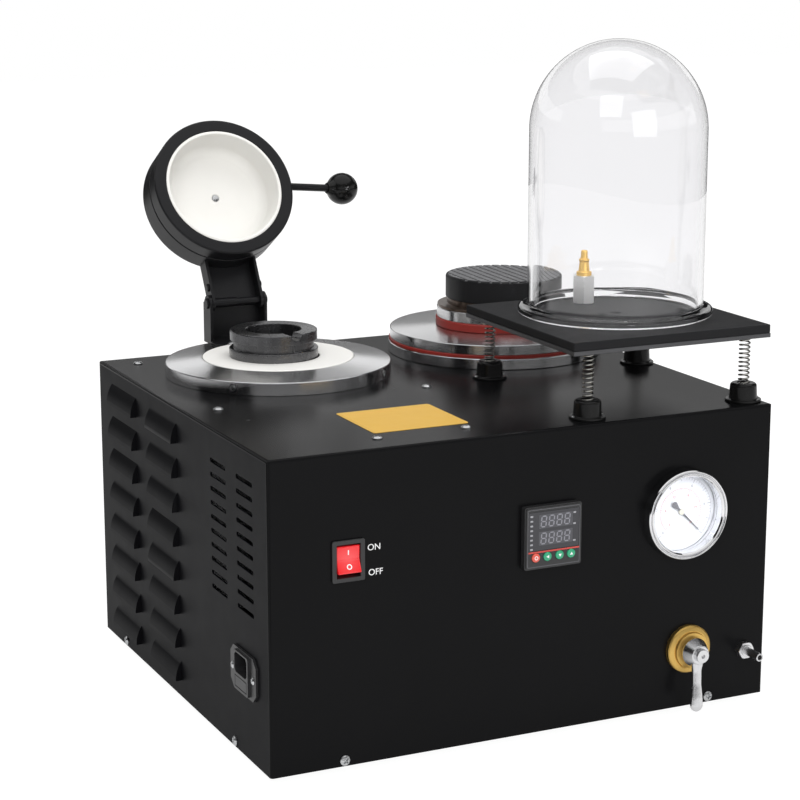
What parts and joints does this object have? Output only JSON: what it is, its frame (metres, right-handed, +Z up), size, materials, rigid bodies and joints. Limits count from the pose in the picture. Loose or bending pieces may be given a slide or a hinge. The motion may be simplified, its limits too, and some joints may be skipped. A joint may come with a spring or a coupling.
{
  "type": "jewelry vacuum casting machine",
  "caption": "Benchtop jewelry casting machine: melting furnace with a hinged lid, vacuum casting chamber, sprung vacuum table with a clear bell jar, on a black steel casing.",
  "frame": {"origin": "middle of the casing in plan, on the surface that the feet stand on", "axes": "+Z up, +X to the right seen from the front, front panel towards -Y"},
  "size_m": [0.43, 0.4756, 0.5175],
  "materials": {
    "black_powder_coat": "fine powder coat",
    "black_satin_steel": "satin",
    "feet_rubber": "matt",
    "zinc_screws": "satin",
    "chrome": "polished",
    "cast_chrome": "satin polished",
    "ceramic": "matt",
    "fibre": "fibrous",
    "graphite": "machined satin",
    "raw_steel": "brushed",
    "resistance_wire": "oxidised",
    "red_rubber": "satin",
    "dark_pad": "mottled",
    "black_rubber": "satin",
    "table_steel": "satin",
    "gloss_black": "gloss",
    "black_plastic": "fine grain",
    "window": "clear gloss",
    "red_plastic": "gloss",
    "green_plastic": "satin",
    "relay_white": "satin",
    "clear_jar": "clear",
    "hex_steel": "turned",
    "brass": "turned",
    "dial_white": "printed",
    "needle_black": "satin"
  },
  "bodies": {
    "root": {"base_tray": "black_powder_coat", "rubber_feet": "feet_rubber", "casing_hood": "black_powder_coat", "left_side_panel": "black_powder_coat", "right_side_panel": "black_powder_coat", "casing_screws": "zinc_screws", "heater_relay": "relay_white", "deck_ring": "chrome", "ring_screws": "zinc_screws", "ceramic_disc": "ceramic", "furnace_drum": "raw_steel", "insulation": "fibre", "muffle": "ceramic", "heating_coil": "resistance_wire", "thermocouple": "raw_steel", "hinge_bracket": "black_satin_steel", "hinge_pin": "black_satin_steel", "hinge_sleeve": "black_satin_steel", "chamber_cup": "raw_steel", "base_flange": "chrome", "thin_gasket": "red_rubber", "spring_feet": "gloss_black", "table_springs": "raw_steel", "switch_frame": "red_plastic", "controller_case": "black_plastic", "display_window": "window", "gauge_case": "chrome", "gauge_bezel": "chrome", "gauge_dial": "dial_white", "gauge_lens": "clear_jar", "valve_body": "brass", "pump_nipple": "chrome", "mains_inlet": "black_plastic", "vacuum_pipes": "red_rubber"},
    "lid": {"lid_arm": "black_satin_steel", "arm_rivet": "black_satin_steel", "lid_shell": "black_satin_steel", "lid_lining": "ceramic", "lid_bolt": "zinc_screws", "handle_rod": "black_satin_steel", "ball_knob": "gloss_black"},
    "crucible": {"crucible": "graphite"},
    "adapter": {"adapter_plate": "chrome", "thick_gasket": "red_rubber"},
    "top_rings": {"small_ring": "chrome", "stepped_ring": "dark_pad"},
    "cap": {"ribbed_cap": "black_rubber"},
    "table": {"table_plate": "table_steel", "table_mat": "black_rubber", "release_fitting": "hex_steel", "release_tip": "brass"},
    "jar": {"bell_jar": "clear_jar"},
    "rocker": {"rocker": "red_plastic"},
    "button_set": {"button_set": "red_plastic"},
    "button_left": {"button_left": "green_plastic"},
    "button_down": {"button_down": "green_plastic"},
    "button_up": {"button_up": "green_plastic"},
    "needle": {"gauge_needle": "needle_black"},
    "valve": {"valve_stem": "brass", "valve_lever": "cast_chrome"}
  },
  "joints": [
    {"name": "lid_hinge", "type": "hinge", "parent": "root", "child": "lid", "pos_m": [-0.09, 0.1775, 0.2864], "axis": [-1, 0, 0], "range_deg": [-120, 0]},
    {"name": "crucible_lift", "type": "slide", "parent": "root", "child": "crucible", "axis": [0, 0, 1], "range_m": [0, 0.13]},
    {"name": "adapter_lift", "type": "slide", "parent": "root", "child": "adapter", "axis": [0, 0, 1], "range_m": [0, 0.06]},
    {"name": "rings_lift", "type": "slide", "parent": "adapter", "child": "top_rings", "axis": [0, 0, 1], "range_m": [0, 0.05]},
    {"name": "cap_lift", "type": "slide", "parent": "top_rings", "child": "cap", "axis": [0, 0, 1], "range_m": [0, 0.05]},
    {"name": "table_bounce", "type": "slide", "parent": "root", "child": "table", "axis": [0, 0, 1], "range_m": [-0.006, 0.003], "stiffness_N_per_m": 8000, "springref_m": 0.004, "deforming": ["table_springs"]},
    {"name": "jar_lift", "type": "slide", "parent": "table", "child": "jar", "axis": [0, 0, 1], "range_m": [0, 0.12]},
    {"name": "power_rocker", "type": "hinge", "parent": "root", "child": "rocker", "pos_m": [-0.149, -0.185, 0.1635], "axis": [1, 0, 0], "range_deg": [0, 20]},
    {"name": "press_set", "type": "slide", "parent": "root", "child": "button_set", "axis": [0, 1, 0], "range_m": [0, 0.0008], "stiffness_N_per_m": 300},
    {"name": "press_left", "type": "slide", "parent": "root", "child": "button_left", "axis": [0, 1, 0], "range_m": [0, 0.0008], "stiffness_N_per_m": 300},
    {"name": "press_down", "type": "slide", "parent": "root", "child": "button_down", "axis": [0, 1, 0], "range_m": [0, 0.0008], "stiffness_N_per_m": 300},
    {"name": "press_up", "type": "slide", "parent": "root", "child": "button_up", "axis": [0, 1, 0], "range_m": [0, 0.0008], "stiffness_N_per_m": 300},
    {"name": "gauge_sweep", "type": "hinge", "parent": "root", "child": "needle", "pos_m": [0.1305, -0.188, 0.1655], "axis": [0, -1, 0], "range_deg": [0, 270], "stiffness_Nm_per_rad": 0.001},
    {"name": "valve_turn", "type": "hinge", "parent": "root", "child": "valve", "pos_m": [0.1385, -0.189, 0.0555], "axis": [0, -1, 0], "continuous": true}
  ]
}
